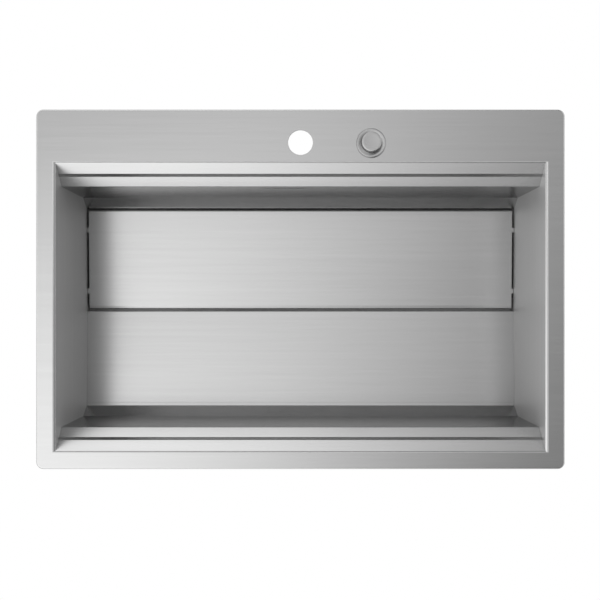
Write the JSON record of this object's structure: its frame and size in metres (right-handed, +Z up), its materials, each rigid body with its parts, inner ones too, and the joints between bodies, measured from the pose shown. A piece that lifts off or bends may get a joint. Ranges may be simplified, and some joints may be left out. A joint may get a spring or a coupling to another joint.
{
  "type": "inset kitchen sink",
  "caption": "Inset steel kitchen sink with stepped ledges, a lift-out cover over a hidden drain, and a push-button waste.",
  "frame": {"origin": "middle of the bowl opening, on the plane where the flange rests on the worktop", "axes": "+X to the right as seen by the user at the front, +Y to the rear deck, +Z up out of the bowl"},
  "size_m": [0.75, 0.51, 0.3482],
  "materials": {
    "brushed_sheet": "satin brushed stainless steel",
    "trough_sheet": "satin stainless steel",
    "cover_sheet": "satin brushed stainless steel",
    "galvanised": "galvanised steel",
    "clamp_steel": "zinc-plated steel",
    "bright_steel": "polished pressed stainless steel",
    "small_steel": "plain steel",
    "control_chrome": "satin plated metal",
    "grey_rubber": "moulded rubber",
    "silicone": "moulded silicone",
    "black_plastic": "moulded polypropylene",
    "hose_plastic": "corrugated polypropylene",
    "cable_pvc": "extruded sheath",
    "seal_foam": "closed-cell foam strip",
    "sound_pad": "textured rubber mat"
  },
  "bodies": {
    "sink": {"deck_plate": "brushed_sheet", "front_panel": "brushed_sheet", "rear_panel": "brushed_sheet", "front_floor": "brushed_sheet", "trough_floor": "trough_sheet", "left_end_plate": "brushed_sheet", "right_end_plate": "brushed_sheet", "deck_stiffener": "galvanised", "clip_rails": "galvanised", "earth_tab": "galvanised", "waste_cup": "bright_steel", "cup_seal": "grey_rubber", "body_gasket": "grey_rubber", "waste_body": "black_plastic", "outlet_spigot": "black_plastic", "fixing_screw": "bright_steel", "spindle_seal": "grey_rubber", "lever_housing": "black_plastic", "housing_cover": "black_plastic", "housing_screws": "small_steel", "overflow_collector": "black_plastic", "collector_gasket": "grey_rubber", "collector_screws": "small_steel", "overflow_hose": "hose_plastic", "hose_cuffs": "grey_rubber", "control_bezel": "control_chrome", "control_body": "black_plastic", "control_gasket": "grey_rubber", "control_nut": "black_plastic", "control_spring": "small_steel", "cable_sheath": "cable_pvc", "cable_ferrules": "small_steel", "rim_seal": "seal_foam", "clamp_hooks": "clamp_steel", "clamp_screws": "clamp_steel", "side_sound_pads": "sound_pad", "wall_sound_pads": "sound_pad", "floor_sound_pads": "sound_pad"},
    "cover": {"drain_cover": "cover_sheet", "cover_legs": "cover_sheet", "cover_feet": "silicone"},
    "button": {"push_button": "control_chrome"},
    "basket": {"strainer_basket": "bright_steel", "basket_seal": "grey_rubber", "basket_post": "bright_steel"},
    "spindle": {"lift_spindle": "small_steel"},
    "cable_core": {"wire_end": "small_steel"},
    "jaws": {"clamp_jaws": "clamp_steel"}
  },
  "joints": [
    {"name": "cover_lift", "type": "slide", "parent": "sink", "child": "cover", "axis": [0, 0, 1], "range_m": [0, 0.25]},
    {"name": "button_press", "type": "slide", "parent": "sink", "child": "button", "axis": [0, 0, -1], "range_m": [0, 0.006], "stiffness_N_per_m": 500, "springref_m": -0.008, "deforming": ["control_spring"]},
    {"name": "wire_push", "type": "slide", "parent": "sink", "child": "cable_core", "axis": [0, -1, 0], "range_m": [0, 0.0061]},
    {"name": "spindle_turn", "type": "hinge", "parent": "sink", "child": "spindle", "pos_m": [0.03, 0.09354, -0.2872], "axis": [-1, 0, 0], "range_deg": [0, 30]},
    {"name": "basket_lift", "type": "slide", "parent": "sink", "child": "basket", "axis": [0, 0, 1], "range_m": [0, 0.0091]},
    {"name": "jaw_slide", "type": "slide", "parent": "sink", "child": "jaws", "axis": [0, 0, -1], "range_m": [-0.008, 0.012]}
  ],
  "couplings": [
    {"joint": "wire_push", "follows": "button_press", "ratio": 1},
    {"joint": "spindle_turn", "follows": "button_press", "rad_per_m": 87.2},
    {"joint": "basket_lift", "follows": "button_press", "ratio": 1.5}
  ]
}
